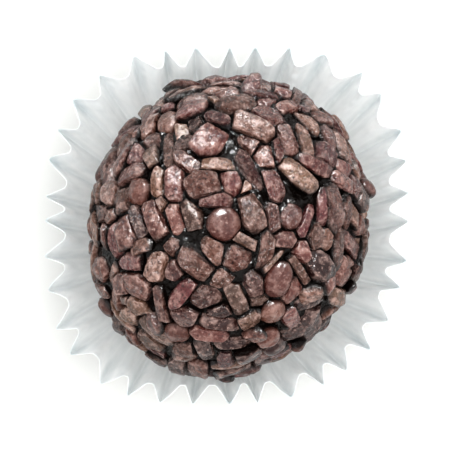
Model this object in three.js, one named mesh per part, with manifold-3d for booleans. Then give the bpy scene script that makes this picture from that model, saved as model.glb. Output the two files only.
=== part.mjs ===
// A brigadeiro: a ball of chocolate fudge rolled in chocolate granules, sitting in a fluted paper case.
//
// Millimetres, +Z up. The origin is the centre of the flat underside of the paper case, the face that the
// sweet rests on. Two nodes: "brigadeiro" is the fudge with its granules pressed in, and "paper_case" is the
// case.
import * as THREE from 'three';
import { mergeVertices } from 'three/addons/utils/BufferGeometryUtils.js';
import Module from 'manifold-3d';

// ---- Driving dimensions ----------------------------------------------------------------------------------

// The paper case. Its rim is pushed out towards four corners, towards the last of them less than the others.
const BASE_RADIUS = 14.5;
const WALL_SLANT = 18.5; // from the base's edge to the rim, along the paper
const FLUTES = 36;
const RIM_REACH = [21.3, 24.2, 20.9, 23.4, 21.3, 23.8, 20.9, 22.1]; // to the ridges' tips, every 45 degrees
const WALL_BULGE = 0.48; // how much of its flare the wall takes early, where the ball presses it out
const PAPER = 0.35;
const GAP = 0.3; // between the paper and the ball that rests on it

// The ball, measured over its granules. It is a little longer one way, as a ball rolled between palms is.
const BALL_LONG = 36.2;
const BALL_SHORT = 33.2;
const BALL_TURN = THREE.MathUtils.degToRad(67.5); // of the long way, from +X
const BALL_HEIGHT = 32.4;
const BALL_SAG = 1.0; // how far the lower half would reach under the foot if it weren't pressed flat there
const BALL_UNEVEN = 0.028; // the swells of a ball rolled by hand, as a share of its radius

// The granules. The dough lies GRAIN_STAND under their tops. A bare spot takes up room as a granule does.
const GRAIN_COUNT = 448;
const GRAIN_STAND = 1.15;
const GRAIN_KINDS = {
  rod: { share: 0.3, length: [4.2, 6.0], width: [1.7, 2.2], sides: 6 },
  flake: { share: 0.23, length: [3.7, 5.2], width: [2.4, 3.1], sides: 6 },
  block: { share: 0.29, length: [2.6, 3.6], width: [2.0, 2.7], sides: 5 },
  bead: { share: 0.05, length: [2.6, 3.5], width: [2.5, 3.3], sides: 6 },
  crumb: { share: 0.11, length: [1.5, 2.3], width: [1.1, 1.6], sides: 5 },
  bare: { share: 0.02, length: [2.2, 3.0], width: [1.6, 2.2] },
};
const SMALLEST_FUSED = 6.0; // mm2 of length times width: smaller granules aren't part of the solid
const SEED = 20;

// The granules and bare spots that catch the eye from above, and two granules that stand proud of the rest. Each
// has its kind, its place in x and y, how its long side is turned in degrees from +X, its length and its width.
const LANDMARKS = [
  ['bead', -1.2, -0.5, 0, 3.8, 3.7],
  ['flake', 2.1, 0.6, 100, 5.0, 3.2],
  ['flake', -3.9, 3.9, -10, 4.6, 3.2],
  ['block', -0.4, 4.1, 125, 2.9, 2.1],
  ['rod', 1.5, 5.7, -62, 5.6, 2.1],
  ['flake', 2.2, 10.2, -32, 5.4, 2.5],
  ['flake', 6.2, 8.9, -75, 4.1, 2.6],
  ['rod', 7.6, 4.9, -38, 5.2, 2.2],
  ['block', 3.5, 7.0, 100, 2.6, 2.4],
  ['flake', -3.3, 9.1, 65, 4.7, 3.1],
  ['flake', 0.2, 12.9, 22, 4.9, 2.5],
  ['rod', -8.1, 8.5, -70, 5.4, 1.7],
  ['rod', -9.3, 0.3, -52, 5.6, 2.3],
  ['rod', -5.1, 0.6, -58, 3.6, 1.8],
  ['flake', -8.9, -4.9, 65, 4.0, 3.0],
  ['flake', -4.3, -4.9, -35, 4.6, 2.8],
  ['block', 0.4, -4.4, 30, 3.1, 2.9],
  ['rod', 3.7, -3.3, 85, 4.1, 2.0],
  ['flake', -2.9, -8.4, 20, 3.7, 2.6],
  ['rod', 0.6, -8.6, -65, 4.3, 2.2],
  ['bead', 5.4, -6.7, 80, 4.4, 2.9],
  ['block', 2.8, -7.4, -50, 2.8, 2.2],
  ['rod', -1.3, -11.2, -12, 4.7, 2.0],
  ['rod', 0.7, -13.6, -5, 5.0, 1.9],
  ['rod', 0.6, -15.9, -12, 4.8, 2.0],
  ['flake', 9.2, -11.8, 40, 5.8, 3.2],
  ['rod', -8.6, -12.2, -50, 5.6, 2.0],
  ['rod', 12.0, 1.3, -80, 5.6, 2.1],
  ['bead', 7.0, 0.2, 60, 3.1, 2.5],
  ['rod', 4.6, 3.5, -65, 4.0, 1.9],
  ['block', -1.9, 2.0, -12, 3.3, 1.7],
  ['bare', -4.9, -2.3, -20, 3.2, 1.9],
  ['bare', -0.6, 8.3, 70, 3.4, 2.0],
  ['bare', 8.4, 2.0, 30, 3.0, 1.6],
  ['bare', 6.6, 11.4, 10, 2.3, 1.5],
  ['bare', -7.0, -6.9, 30, 2.4, 1.6],
  ['bare', 12.0, -3.6, 60, 2.6, 1.5],
  ['bare', -14.6, -3.5, 80, 2.8, 1.7],
];
const PROUD_LANDMARKS = [
  ['rod', 2.2, 15.4, 80, 4.4, 1.9],
  ['bead', 16.9, 3.8, 0, 2.4, 2.2],
];

// How a granule lies on the dough, in mm and radians: how high its middle is, and how far it may stray either
// way. A few on the upper side stand proud, with one end up. Lower down the paper presses the granules in.
const MIDDLE_LIFT = 0.25;
const STRAY = { lift: 0.4, pitch: 0.23, roll: 0.34 };
const PROUD = { share: 0.08, lift: 0.45, pitch: [0.2, 0.6] };
const PRESSED = { below: 0, stray: 0.36 }; // below this share of the ball's radius over its middle

// ---- Random draws ----------------------------------------------------------------------------------------

// A linear congruential generator: the same draws on every run.
function randomStream(seed) {
  let state = seed >>> 0;
  return () => {
    state = (Math.imul(state, 1664525) + 1013904223) >>> 0;
    return state / 4294967296;
  };
}

const between = ([low, high], draw) => low + (high - low) * draw;
const eitherWay = (reach, draw) => reach * (2 * draw - 1);

// ---- The dough -------------------------------------------------------------------------------------------

const FOOT = PAPER + GAP;
const BALL_CENTRE = new THREE.Vector3(0, 0, FOOT + BALL_HEIGHT / 2);

// The swells and hollows of the dough, from -1 to 1: along and across the ball's long way, and up it.
function unevenness(along, across, z) {
  const broad = Math.sin(4.1 * along + 0.6) * Math.sin(3.3 * z + 1.9);
  const narrow = Math.sin(3.7 * across + 2.2) * Math.sin(2.9 * z);
  return (broad + narrow) / 2;
}

// The point of the dough's surface that lies in a direction from the ball's centre.
function doughPoint({ x, y, z }) {
  const cos = Math.cos(BALL_TURN);
  const sin = Math.sin(BALL_TURN);
  const along = x * cos + y * sin;
  const across = y * cos - x * sin;
  const swell = 1 + BALL_UNEVEN * unevenness(along, across, z);
  const long = along * (BALL_LONG / 2 - GRAIN_STAND) * swell;
  const short = across * (BALL_SHORT / 2 - GRAIN_STAND) * swell;
  const sag = z < 0 ? BALL_SAG * z * z : 0;
  const up = z * (BALL_HEIGHT / 2 + sag - GRAIN_STAND) * swell;
  return new THREE.Vector3(long * cos - short * sin, long * sin + short * cos, up).add(BALL_CENTRE);
}

function doughGeometry() {
  const ball = new THREE.IcosahedronGeometry(1, 3);
  const position = ball.getAttribute('position');
  const direction = new THREE.Vector3();
  for (let i = 0; i < position.count; i++) {
    direction.fromBufferAttribute(position, i).normalize();
    position.setXYZ(i, ...doughPoint(direction));
  }
  return ball;
}

// ---- Where the granules lie ------------------------------------------------------------------------------

function drawKind(draw) {
  let left = draw;
  return Object.keys(GRAIN_KINDS).find((name) => (left -= GRAIN_KINDS[name].share) < 0) ?? 'crumb';
}

// The way along the unit ball's surface that is turned from east by an angle, at a point of the ball.
function heading(at, angle) {
  const east = new THREE.Vector3(-at.y, at.x, 0).normalize();
  const north = new THREE.Vector3().crossVectors(at, east);
  return east.multiplyScalar(Math.cos(angle)).addScaledVector(north, Math.sin(angle));
}

// Granule number i, made from nine draws. Its first place is the next one along a spiral that covers the
// ball evenly, moved a little along it.
function drawGrain(i, draws) {
  const goldenAngle = Math.PI * (3 - Math.sqrt(5));
  const name = drawKind(draws[0]);
  const height = 1 - (2 * i + 1) / GRAIN_COUNT;
  const angle = i * goldenAngle + eitherWay(0.06, draws[3]);
  const ring = Math.sqrt(1 - height * height);
  const at = new THREE.Vector3(ring * Math.cos(angle), ring * Math.sin(angle), height).normalize();
  return {
    name,
    length: between(GRAIN_KINDS[name].length, draws[1]),
    width: between(GRAIN_KINDS[name].width, draws[2]),
    at,
    axis: heading(at, Math.PI * draws[4]),
    lift: draws[5],
    pitch: draws[6],
    roll: draws[7],
    proud: at.z > PRESSED.below && draws[8] < PROUD.share,
  };
}

// A landmark takes the place of the free granule nearest to it, and stays where it is put.
function placeLandmark(grains, [name, x, y, turn, length, width], proud) {
  const at = new THREE.Vector3(x, y, 0).divideScalar(SETTLE_RADIUS);
  at.z = Math.sqrt(Math.max(0.01, 1 - at.lengthSq()));
  at.normalize();
  const free = grains.filter((grain) => !grain.fixed);
  const nearest = free.reduce((a, b) => (a.at.distanceTo(at) <= b.at.distanceTo(at) ? a : b));
  const angle = THREE.MathUtils.degToRad(turn);
  const axis = new THREE.Vector3(Math.cos(angle), Math.sin(angle), 0);
  axis.addScaledVector(at, -axis.dot(at)).normalize();
  Object.assign(nearest, { name, length, width, at, axis, proud, fixed: true });
}

const SETTLE_STEPS = 160;
const SETTLE_RADIUS = 16.7; // of the ball that the granules are settled on
const SETTLE_PUSH = 0.42; // share of an overlap that one step takes away
const SWELL_STEPS = 80; // the granules grow to full size over these steps
const SWELL_FROM = 0.6;
const SHORTEST_ARM = 0.5; // on which a push can turn a granule
const CLEAR_OF = 7; // granules whose middles are further apart than this can't touch
const GIVE_WAY = 0.04; // share of its worst overlap that a full-grown granule loses in size at one step
const NARROWEST = 1.0;

// Granules slide and turn on the ball until they lie side by side. Each is taken as three discs in a row, and
// discs that overlap push each other apart. A granule that finds no room is a smaller one.
function settleGrains(grains) {
  for (let step = 0; step < SETTLE_STEPS; step++) {
    const swell = Math.min(1, SWELL_FROM + ((1 - SWELL_FROM) * step) / SWELL_STEPS);
    const giveWay = step < SWELL_STEPS ? 0 : GIVE_WAY;
    const rows = grains.map((grain) => discRow(grain, swell));
    for (let i = 0; i < grains.length; i++) {
      for (let j = i + 1; j < grains.length; j++) {
        if (grains[i].at.distanceTo(grains[j].at) * SETTLE_RADIUS < CLEAR_OF) pushApart(rows[i], rows[j]);
      }
    }
    grains.forEach((grain, i) => moveTo(grain, rows[i].ends, giveWay * rows[i].squeeze));
  }
}

function discRow({ at, axis, length, width }, swell) {
  const middle = at.clone().multiplyScalar(SETTLE_RADIUS);
  const reach = (swell * (length - width)) / 2;
  const arm = Math.max(reach, SHORTEST_ARM);
  return {
    squeeze: 0,
    radius: (swell * width) / 2,
    centres: [-1, 0, 1].map((side) => middle.clone().addScaledVector(axis, side * reach)),
    ends: [-1, 1].map((side) => middle.clone().addScaledVector(axis, side * arm)),
  };
}

function pushApart(one, other) {
  const least = one.radius + other.radius;
  for (let a = 0; a < 3; a++) {
    for (let b = 0; b < 3; b++) {
      const apart = new THREE.Vector3().subVectors(one.centres[a], other.centres[b]);
      const distance = apart.length();
      if (distance >= least || distance === 0) continue;
      one.squeeze = Math.max(one.squeeze, least - distance);
      other.squeeze = Math.max(other.squeeze, least - distance);
      apart.multiplyScalar((SETTLE_PUSH * (least - distance)) / (2 * distance));
      shove(one.ends, a, apart);
      shove(other.ends, b, apart.negate());
    }
  }
}

// A push on an end disc moves that end. A push on the middle disc moves both ends.
function shove(ends, disc, push) {
  if (disc !== 2) ends[0].add(push);
  if (disc !== 0) ends[1].add(push);
}

function moveTo(grain, [tail, head], loss) {
  if (grain.fixed) return;
  if (grain.width > NARROWEST) {
    grain.length -= loss;
    grain.width -= loss;
  }
  grain.at = new THREE.Vector3().addVectors(head, tail).normalize();
  const axis = new THREE.Vector3().subVectors(head, tail);
  grain.axis = axis.addScaledVector(grain.at, -axis.dot(grain.at)).normalize();
}

// ---- The granules' shape ---------------------------------------------------------------------------------

const CHIP_FIT = 0.5; // of a chip's length and width to either side, so that neighbours meet side by side
const CHIP_RAGGED = 0.16; // how far its outline strays, as a share
const CHIP_PROFILE = [[0, -3], [1, 0.35], [0, 1]].map(([x, y]) => new THREE.Vector2(x, y));

const chipThickness = ({ width }) => 0.55 * width + 0.45;

// A granule's place on the dough: its axes along, across and out, turned by how it strays, and its middle.
function grainMatrix(grain) {
  const { at, axis, proud } = grain;
  const step = 0.01;
  const side = new THREE.Vector3().crossVectors(at, axis);
  const middle = doughPoint(at);
  const ahead = doughPoint(at.clone().addScaledVector(axis, step).normalize()).sub(middle).normalize();
  const beside = doughPoint(at.clone().addScaledVector(side, step).normalize()).sub(middle);
  const out = new THREE.Vector3().crossVectors(ahead, beside).normalize();
  const across = new THREE.Vector3().crossVectors(out, ahead);

  const play = at.z > PRESSED.below ? 1 : PRESSED.stray;
  const lift = MIDDLE_LIFT + eitherWay(STRAY.lift * play, grain.lift) + (proud ? PROUD.lift : 0);
  const pitch = proud ? -between(PROUD.pitch, grain.pitch) : eitherWay(STRAY.pitch * play, grain.pitch);
  const roll = eitherWay(STRAY.roll * play, grain.roll);
  return new THREE.Matrix4()
    .makeBasis(ahead, across, out)
    .multiply(new THREE.Matrix4().makeRotationFromEuler(new THREE.Euler(roll, pitch, 0)))
    .setPosition(middle.addScaledVector(out, lift));
}

// A granule: a chip with a low crown, a ragged outline, and sides that draw in towards a foot in the dough.
function grainGeometry(grain, random) {
  const { sides } = GRAIN_KINDS[grain.name];
  const chip = new THREE.LatheGeometry(CHIP_PROFILE, sides, 2 * Math.PI * random());
  const ragged = Array.from({ length: sides }, () => 1 + eitherWay(CHIP_RAGGED, random()));
  const position = chip.getAttribute('position');
  for (let i = 0; i < position.count; i++) {
    const share = ragged[Math.floor(i / CHIP_PROFILE.length) % sides];
    position.setXYZ(i, position.getX(i) * share, position.getY(i), position.getZ(i) * share);
  }
  return chip.rotateX(Math.PI / 2)
    .scale(CHIP_FIT * grain.length, CHIP_FIT * grain.width, chipThickness(grain) / 2)
    .applyMatrix4(grainMatrix(grain));
}

// ---- The paper case --------------------------------------------------------------------------------------

const FLUTE_COLUMNS = [[0, 1], [0.37, -1], [0.63, -1]]; // share of its width, and 1 on a ridge, -1 in a valley
const WALL_SLANTS = [0.6, 3.2, 8, 13, WALL_SLANT]; // of the rings of points, along the paper from the base
const BASE_BEND = 0.8; // the base is flat as far as this from its edge

// How far the ridges' tips reach in a direction, eased from one named reach to the next.
function rimReach(angle) {
  const eighth = (angle / (Math.PI / 4)) % 8;
  const index = Math.floor(eighth);
  const ease = (1 - Math.cos(Math.PI * (eighth - index))) / 2;
  return THREE.MathUtils.lerp(RIM_REACH[index], RIM_REACH[(index + 1) % 8], ease);
}

// Depth of a flute, from its valley to its ridge. The paper round the case keeps the length that it had when
// it was flat, so a flute is as deep as it has to be to take up what the narrower wall leaves over.
function fluteDepth(slant, radius) {
  const paper = (Math.PI * (BASE_RADIUS + slant)) / FLUTES;
  const pitch = (Math.PI * radius) / FLUTES;
  return Math.sqrt(Math.max(0, paper * paper - pitch * pitch));
}

// The radius midway between ridges and valleys at the rim: with half a flute's depth it makes up the reach.
function rimMiddle(reach) {
  const paper = (Math.PI * (BASE_RADIUS + WALL_SLANT)) / FLUTES;
  const a = 4 + (Math.PI / FLUTES) ** 2;
  const b = -8 * reach;
  const c = 4 * reach * reach - paper * paper;
  return (-b - Math.sqrt(b * b - 4 * a * c)) / (2 * a);
}

// A point of the wall, in the middle of the paper's thickness.
function wallPoint(angle, slant, fold) {
  const share = slant / WALL_SLANT;
  const flare = share + WALL_BULGE * share * (1 - share);
  const middle = BASE_RADIUS + (rimMiddle(rimReach(angle)) - BASE_RADIUS) * flare;
  const radius = middle + (fold * fluteDepth(slant, middle)) / 2;
  const outward = radius - BASE_RADIUS;
  const height = PAPER / 2 + Math.sqrt(slant * slant - outward * outward);
  return new THREE.Vector3(radius * Math.cos(angle), radius * Math.sin(angle), height);
}

// The angle and fold of each column of points round the case.
function wallColumns() {
  const flutes = Array.from({ length: FLUTES }, (_, flute) => flute);
  return flutes.flatMap((flute) => FLUTE_COLUMNS.map(([share, fold]) => (
    { angle: (2 * Math.PI * (flute + share)) / FLUTES, fold }
  )));
}

function basePoint(angle) {
  const radius = BASE_RADIUS - BASE_BEND;
  return new THREE.Vector3(radius * Math.cos(angle), radius * Math.sin(angle), PAPER / 2);
}

// The middle surface as one open sheet: the base as a fan round its centre, and the wall between the rings.
function paperFaces(rings, around) {
  const at = (ring, column) => ring * around + (column % around);
  const centre = rings * around;
  const faces = [];
  for (let c = 0; c < around; c++) {
    faces.push([centre, at(0, c), at(0, c + 1)]);
    for (let r = 0; r + 1 < rings; r++) {
      faces.push([at(r, c), at(r + 1, c), at(r, c + 1)]);
      faces.push([at(r, c + 1), at(r + 1, c), at(r + 1, c + 1)]);
    }
  }
  return faces;
}

// The middle surface moved along its normals, to one face of the paper.
function paperFace(points, normal, side) {
  return points.map((point, i) => {
    const out = new THREE.Vector3().fromBufferAttribute(normal, i);
    return point.clone().addScaledVector(out, (side * PAPER) / 2);
  });
}

// The case as one closed sheet: both faces of the paper, joined along the rim.
function caseGeometry() {
  const columns = wallColumns();
  const around = columns.length;
  const wall = WALL_SLANTS.map((slant) => columns.map(({ angle, fold }) => wallPoint(angle, slant, fold)));
  const rings = [columns.map(({ angle }) => basePoint(angle)), ...wall];
  const points = [...rings.flat(), new THREE.Vector3(0, 0, PAPER / 2)];
  const faces = paperFaces(rings.length, around);
  const sheet = new THREE.BufferGeometry().setFromPoints(points).setIndex(faces.flat());
  sheet.computeVertexNormals();

  const normal = sheet.getAttribute('normal');
  const count = points.length;
  const solid = [...faces, ...faces.map(([a, b, c]) => [a + count, c + count, b + count])];
  const rim = (rings.length - 1) * around;
  for (let c = 0; c < around; c++) {
    const here = rim + c;
    const next = rim + ((c + 1) % around);
    solid.push([here, here + count, next]);
    solid.push([next, here + count, next + count]);
  }
  return new THREE.BufferGeometry()
    .setFromPoints([...paperFace(points, normal, 1), ...paperFace(points, normal, -1)])
    .setIndex(solid.flat());
}

// ---- Joining ---------------------------------------------------------------------------------------------

const wasm = await Module();
wasm.setup();

function toManifold(geometry) {
  const bare = geometry.clone();
  bare.deleteAttribute('normal');
  bare.deleteAttribute('uv');
  const merged = mergeVertices(bare, 1e-4);
  return new wasm.Manifold(new wasm.Mesh({
    numProp: 3,
    vertProperties: new Float32Array(merged.getAttribute('position').array),
    triVerts: new Uint32Array(merged.index.array),
  }));
}

function toGeometry(manifold) {
  const { vertProperties, triVerts } = manifold.getMesh();
  const geometry = new THREE.BufferGeometry();
  geometry.setAttribute('position', new THREE.BufferAttribute(vertProperties, 3));
  geometry.setIndex(new THREE.BufferAttribute(triVerts, 1));
  geometry.computeVertexNormals();
  return geometry;
}

// The dough with its larger granules fused on, pressed flat where it rests on the paper.
function brigadeiroGeometry() {
  const draw = randomStream(SEED);
  const drawNine = () => Array.from({ length: 9 }, draw);
  const grains = Array.from({ length: GRAIN_COUNT }, (_, i) => drawGrain(i, drawNine()));
  LANDMARKS.forEach((mark) => placeLandmark(grains, mark, false));
  PROUD_LANDMARKS.forEach((mark) => placeLandmark(grains, mark, true));
  settleGrains(grains);

  const shape = randomStream(SEED + 1);
  const large = ({ name, length, width }) => name !== 'bare' && length * width >= SMALLEST_FUSED;
  const chips = grains.filter(large).map((grain) => toManifold(grainGeometry(grain, shape)));
  const ball = chips.reduce((whole, chip) => whole.add(chip), toManifold(doughGeometry()));
  const below = new THREE.BoxGeometry(2 * BALL_LONG, 2 * BALL_LONG, BALL_LONG);
  below.translate(0, 0, FOOT - BALL_LONG / 2);
  return toGeometry(ball.subtract(toManifold(below)));
}

// ---- The part --------------------------------------------------------------------------------------------

const chocolate = new THREE.MeshStandardMaterial({ color: 0x6c544f, roughness: 0.45, metalness: 0 });
const brigadeiro = new THREE.Mesh(brigadeiroGeometry(), chocolate);
brigadeiro.name = 'brigadeiro';

const paper = new THREE.MeshStandardMaterial({ color: 0xd3d9d7, roughness: 0.8, metalness: 0 });
const paperCase = new THREE.Mesh(caseGeometry(), paper);
paperCase.name = 'paper_case';

const part = new THREE.Group();
part.add(brigadeiro, paperCase);

export default part;
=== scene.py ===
# %% [markdown]
# # A brigadeiro in its paper case
# A brigadeiro is a ball of condensed milk fudge, rolled by hand in chocolate granules and set in a small
# fluted paper case. The sizes come from a CAD model of it, the frame, which this script loads and then
# dresses: the plain solids give way to four hundred single granules, the fudge under them, and thin paper.

# %% Load the frame
import math

import bmesh
import bpy
import numpy as np
from mathutils import Matrix, Vector


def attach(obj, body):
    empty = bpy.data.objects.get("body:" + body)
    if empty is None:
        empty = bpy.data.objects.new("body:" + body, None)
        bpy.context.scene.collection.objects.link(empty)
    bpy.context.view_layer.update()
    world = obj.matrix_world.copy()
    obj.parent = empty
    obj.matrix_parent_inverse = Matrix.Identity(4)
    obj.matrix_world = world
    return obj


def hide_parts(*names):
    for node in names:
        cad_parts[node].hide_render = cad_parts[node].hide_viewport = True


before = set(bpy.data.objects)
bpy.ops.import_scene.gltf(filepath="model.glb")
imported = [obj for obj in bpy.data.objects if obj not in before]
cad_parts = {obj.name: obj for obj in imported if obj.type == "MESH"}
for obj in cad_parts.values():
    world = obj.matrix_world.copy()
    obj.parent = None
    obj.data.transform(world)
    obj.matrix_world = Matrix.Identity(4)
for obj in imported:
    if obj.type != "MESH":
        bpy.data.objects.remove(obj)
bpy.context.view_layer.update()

# %% [markdown]
# ## Sizes
# Blender works in metres here, but a sweet is easier to think about in millimetres. So every size below is
# in millimetres, and the one function that makes a mesh turns them into metres. The paper of the CAD model
# is thicker than real paper, and the ball's foot stands a small gap above it.

# %% The sizes of the ball
MM = 0.001

CAD_PAPER = 0.35
CAD_GAP = 0.3
FOOT = CAD_PAPER + CAD_GAP
BALL_LONG = 36.2
BALL_SHORT = 33.2
BALL_HEIGHT = 32.4
BALL_CENTRE = np.array([0.0, 0.0, FOOT + BALL_HEIGHT / 2])
print("the ball is", BALL_LONG, "by", BALL_SHORT, "mm, and its centre is at", BALL_CENTRE)

# %% [markdown]
# ## The dough's shape
# A ball rolled between two palms is never a true sphere. This one is a little longer one way, sags towards
# its foot, and has soft swells. A modifier could bend a sphere like that, but a formula is better here,
# because each granule has to find the dough's surface too.

# %% The surface of the dough
BALL_TURN = math.radians(67.5)
BALL_SAG = 1.0
BALL_UNEVEN = 0.028
# The granules stand this far out of the dough.
GRAIN_STAND = 1.15
# A swell is one wave round the ball times another up it. Each wave has its speed and its start.
BROAD_SWELL = {"along": (4.1, 0.6), "up": (3.3, 1.9)}
NARROW_SWELL = {"across": (3.7, 2.2), "up": (2.9, 0.0)}


def unit(vectors):
    """The vectors, each made one unit long."""
    return vectors / np.linalg.norm(vectors, axis=-1, keepdims=True)


def wave(place, shape):
    """A sine wave's height at a place, from how fast the wave goes and where it starts."""
    speed, start = shape
    return np.sin(speed * place + start)


def dough_point(direction):
    """The points, in mm, where the dough's surface lies in directions from the ball's centre."""
    x, y, z = np.moveaxis(direction, -1, 0)
    cos, sin = math.cos(BALL_TURN), math.sin(BALL_TURN)
    along = x * cos + y * sin
    across = y * cos - x * sin
    broad = wave(along, BROAD_SWELL["along"]) * wave(z, BROAD_SWELL["up"])
    narrow = wave(across, NARROW_SWELL["across"]) * wave(z, NARROW_SWELL["up"])
    swell = 1 + BALL_UNEVEN * (broad + narrow) / 2
    long = along * (BALL_LONG / 2 - GRAIN_STAND) * swell
    short = across * (BALL_SHORT / 2 - GRAIN_STAND) * swell
    up = z * (BALL_HEIGHT / 2 + np.where(z < 0, BALL_SAG * z * z, 0) - GRAIN_STAND) * swell
    return np.stack([long * cos - short * sin, long * sin + short * cos, up], axis=-1) + BALL_CENTRE


top = dough_point(np.array([0.0, 0.0, 1.0]))
print("the dough's top is", round(float(top[2]), 2), "mm over the table")

# %% [markdown]
# ## Where the granules lie
# Granules that stick to a sticky ball come to lie flat, side by side, with narrow gaps. A particle system
# would scatter them through each other. So each one starts at its own place on a spiral round the ball, and
# then they push each other apart, step by step, until hardly any two overlap.

# %% The kinds of granules
GRAIN_COUNT = 448
# Of each kind: its share of all, the limits of its length and width, how square it is, from 2 for an oval
# upwards, and the most that it may be bent or tapered. A bare spot takes up room but gets no granule.
GRAIN_KINDS = {
    "rod": dict(share=0.3, length=(4.2, 6.0), width=(1.7, 2.2), boxy=3.4, bend=0.3, taper=0.2),
    "flake": dict(share=0.23, length=(3.7, 5.2), width=(2.4, 3.1), boxy=3.8, bend=0.25, taper=0.45),
    "block": dict(share=0.29, length=(2.6, 3.6), width=(2.0, 2.7), boxy=4.2, bend=0.0, taper=0.35),
    "bead": dict(share=0.05, length=(2.6, 3.5), width=(2.5, 3.3), boxy=2.1, bend=0.0, taper=0.0),
    "crumb": dict(share=0.11, length=(1.5, 2.3), width=(1.1, 1.6), boxy=3.0, bend=0.1, taper=0.3),
    "bare": dict(share=0.02, length=(2.2, 3.0), width=(1.6, 2.2)),
}
print(GRAIN_COUNT, "places for granules of", len(GRAIN_KINDS) - 1, "kinds, and for bare spots")

# %% [markdown]
# Chance decides nine things about each granule. Every draw comes from a small generator with a seed, so the
# sweet is the same on every run.

# %% Draw for each granule
SEED = 20
DRAW_FACTOR = 1664525
DRAW_STEP = 1013904223
DRAW_RANGE = 2**32
DRAWN = ("kind", "length", "width", "stray", "turn", "lift", "pitch", "roll", "proud")


def random_draws(seed, count):
    """The first draws, from 0 to 1, of a linear congruential generator."""
    state = seed
    for _ in range(count):
        state = (state * DRAW_FACTOR + DRAW_STEP) % DRAW_RANGE
        yield state / DRAW_RANGE


def between(limits, draw):
    """A draw from 0 to 1, moved into a range."""
    low, high = limits
    return low + (high - low) * draw


def either_way(reach, draw):
    """A draw from 0 to 1, moved into the range from -reach to reach."""
    return reach * (2 * draw - 1)


draws = np.array(list(random_draws(SEED, len(DRAWN) * GRAIN_COUNT))).reshape(GRAIN_COUNT, len(DRAWN))
chance = dict(zip(DRAWN, draws.T))
print("drew", draws.size, "numbers with a mean of", round(float(draws.mean()), 3))

# %% Start the granules on a spiral
STRAY_ANGLE = 0.06
PRESSED_BELOW = 0.0
PROUD_SHARE = 0.08


def draw_kinds():
    """A kind for each granule, in the shares that the kinds have."""
    names = list(GRAIN_KINDS)
    shares = np.cumsum([GRAIN_KINDS[name]["share"] for name in names])
    picks = np.minimum(np.searchsorted(shares, chance["kind"], "right"), len(names) - 1)
    return np.array(names)[picks]


def draw_sizes(kinds, size):
    """A length or a width for each granule, within the limits of its kind."""
    return np.array([between(GRAIN_KINDS[kind][size], draw) for kind, draw in zip(kinds, chance[size])])


def spiral_places():
    """Places on the unit ball, spread evenly on a spiral from top to foot, each a golden angle on."""
    number = np.arange(GRAIN_COUNT)
    height = 1 - (2 * number + 1) / GRAIN_COUNT
    angle = number * math.pi * (3 - math.sqrt(5)) + either_way(STRAY_ANGLE, chance["stray"])
    ring = np.sqrt(1 - height**2)
    return unit(np.stack([ring * np.cos(angle), ring * np.sin(angle), height], axis=1))


def draw_grains():
    """Each granule's kind, size, place on the unit ball and long axis, as arrays with a row for each."""
    kinds = draw_kinds()
    at = spiral_places()
    east = unit(np.stack([-at[:, 1], at[:, 0], np.zeros(GRAIN_COUNT)], axis=1))
    turn = math.pi * chance["turn"][:, None]
    return {
        "kind": kinds,
        "length": draw_sizes(kinds, "length"),
        "width": draw_sizes(kinds, "width"),
        "at": at,
        "axis": east * np.cos(turn) + np.cross(at, east) * np.sin(turn),
        "proud": (at[:, 2] > PRESSED_BELOW) & (chance["proud"] < PROUD_SHARE),
        "fixed": np.zeros(GRAIN_COUNT, dtype=bool),
    }


grains = draw_grains()
print({name: int((grains["kind"] == name).sum()) for name in GRAIN_KINDS})

# %% [markdown]
# ### What catches the eye
# On every sweet a few granules stand out: a smooth bead on top, a large flake, a spot with no granule.
# Chance alone wouldn't put them where they are, so these landmarks are placed one by one, and the others
# fill in round them.

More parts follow.
